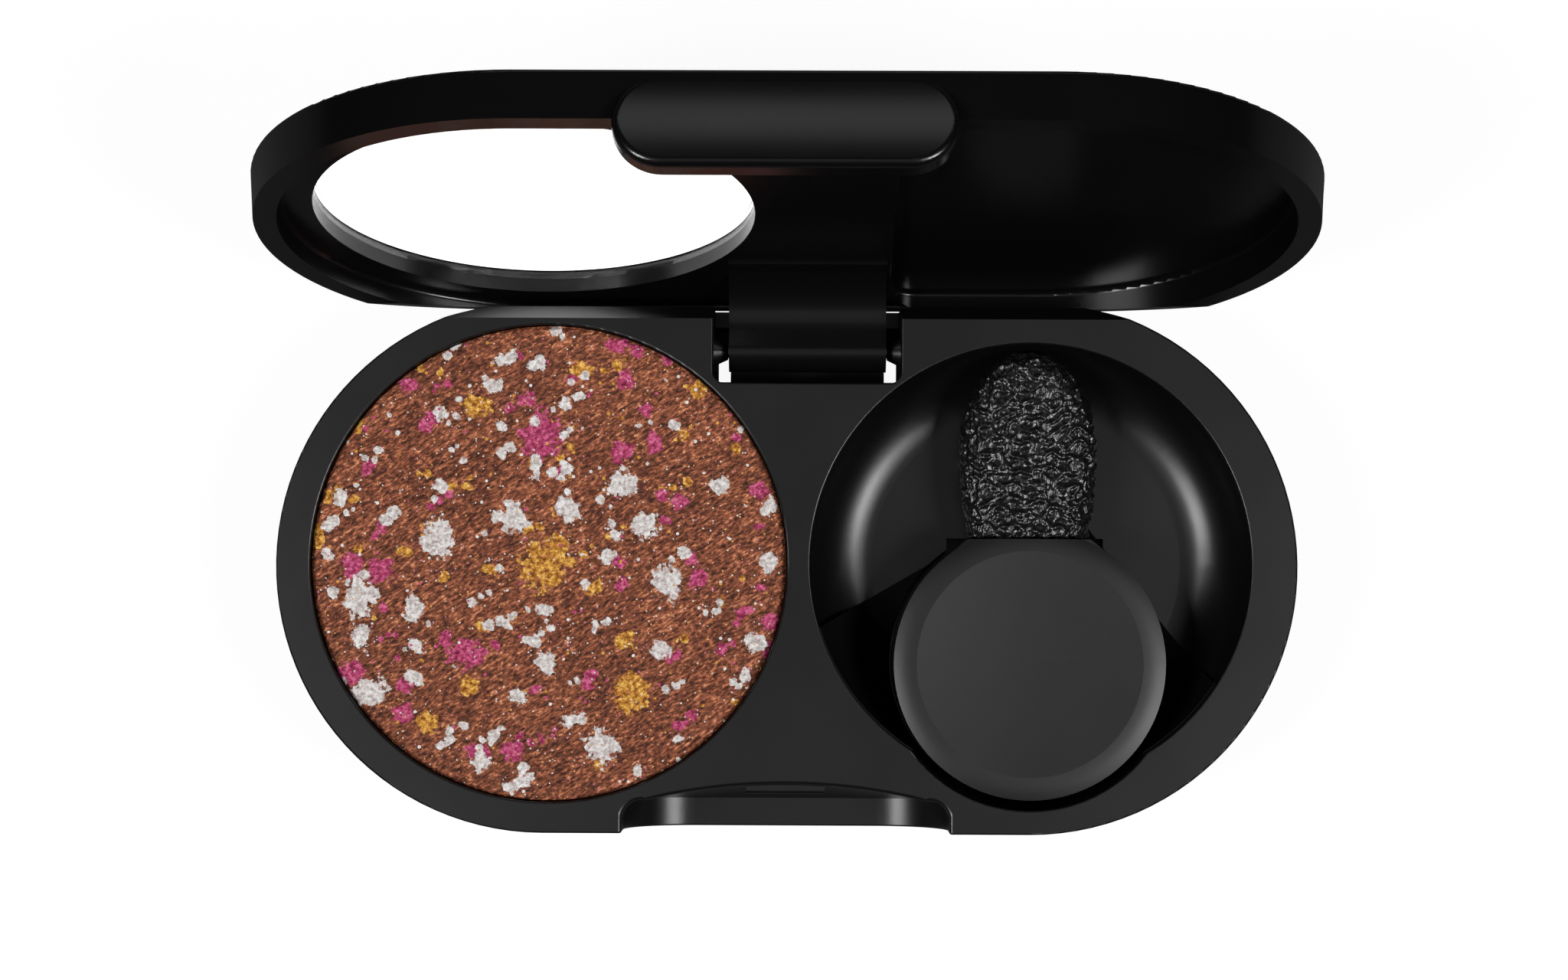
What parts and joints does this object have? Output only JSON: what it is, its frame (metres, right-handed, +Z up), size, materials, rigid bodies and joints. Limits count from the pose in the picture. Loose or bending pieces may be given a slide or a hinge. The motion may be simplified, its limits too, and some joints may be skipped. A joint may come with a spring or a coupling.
{
  "type": "eyeshadow compact",
  "caption": "Oblong cosmetic compact: hinged lid with a clear round window, a round pressed powder, and a dished well holding a disc-handled sponge applicator.",
  "frame": {"origin": "centre of the base's flat underside, midway between its two round ends", "axes": "+X along the case towards the applicator well, +Y towards the hinge at the back, +Z up"},
  "size_m": [0.0652, 0.0446, 0.038],
  "materials": {
    "case_black": "satin black",
    "cover_black": "fine matt black",
    "label_paper": "matt white, blank",
    "pan_metal": "drawn, satin",
    "adhesive": "tacky film",
    "powder": "pressed shimmer powder with coloured flecks",
    "pin_steel": "drawn wire",
    "handle_black": "soft matt black",
    "handle_cover_black": "soft matt black",
    "stem_plastic": "natural",
    "sponge": "black latex foam",
    "lid_black": "gloss black",
    "window_clear": "clear, polished",
    "tab_black": "gloss black"
  },
  "bodies": {
    "base": {"base_tray": "case_black", "base_bottom": "cover_black", "underside_label": "label_paper", "eyeshadow_pan": "pan_metal", "pan_adhesive": "adhesive", "pressed_powder": "powder", "hinge_pin": "pin_steel"},
    "lid": {"lid_frame": "lid_black", "lid_window": "window_clear", "thumb_tab": "tab_black"},
    "applicator": {"handle_top": "handle_black", "handle_bottom": "handle_cover_black", "applicator_stem": "stem_plastic", "sponge_tip": "sponge"}
  },
  "joints": [
    {"name": "lid_hinge", "type": "hinge", "parent": "base", "child": "lid", "pos_m": [0.00129, 0.0138, 0.00737], "axis": [-1, 0, 0], "range_deg": [-105.9, 0]},
    {"name": "applicator_lift", "type": "slide", "parent": "base", "child": "applicator", "axis": [0, 0, 1], "range_m": [0, 0.03]}
  ]
}
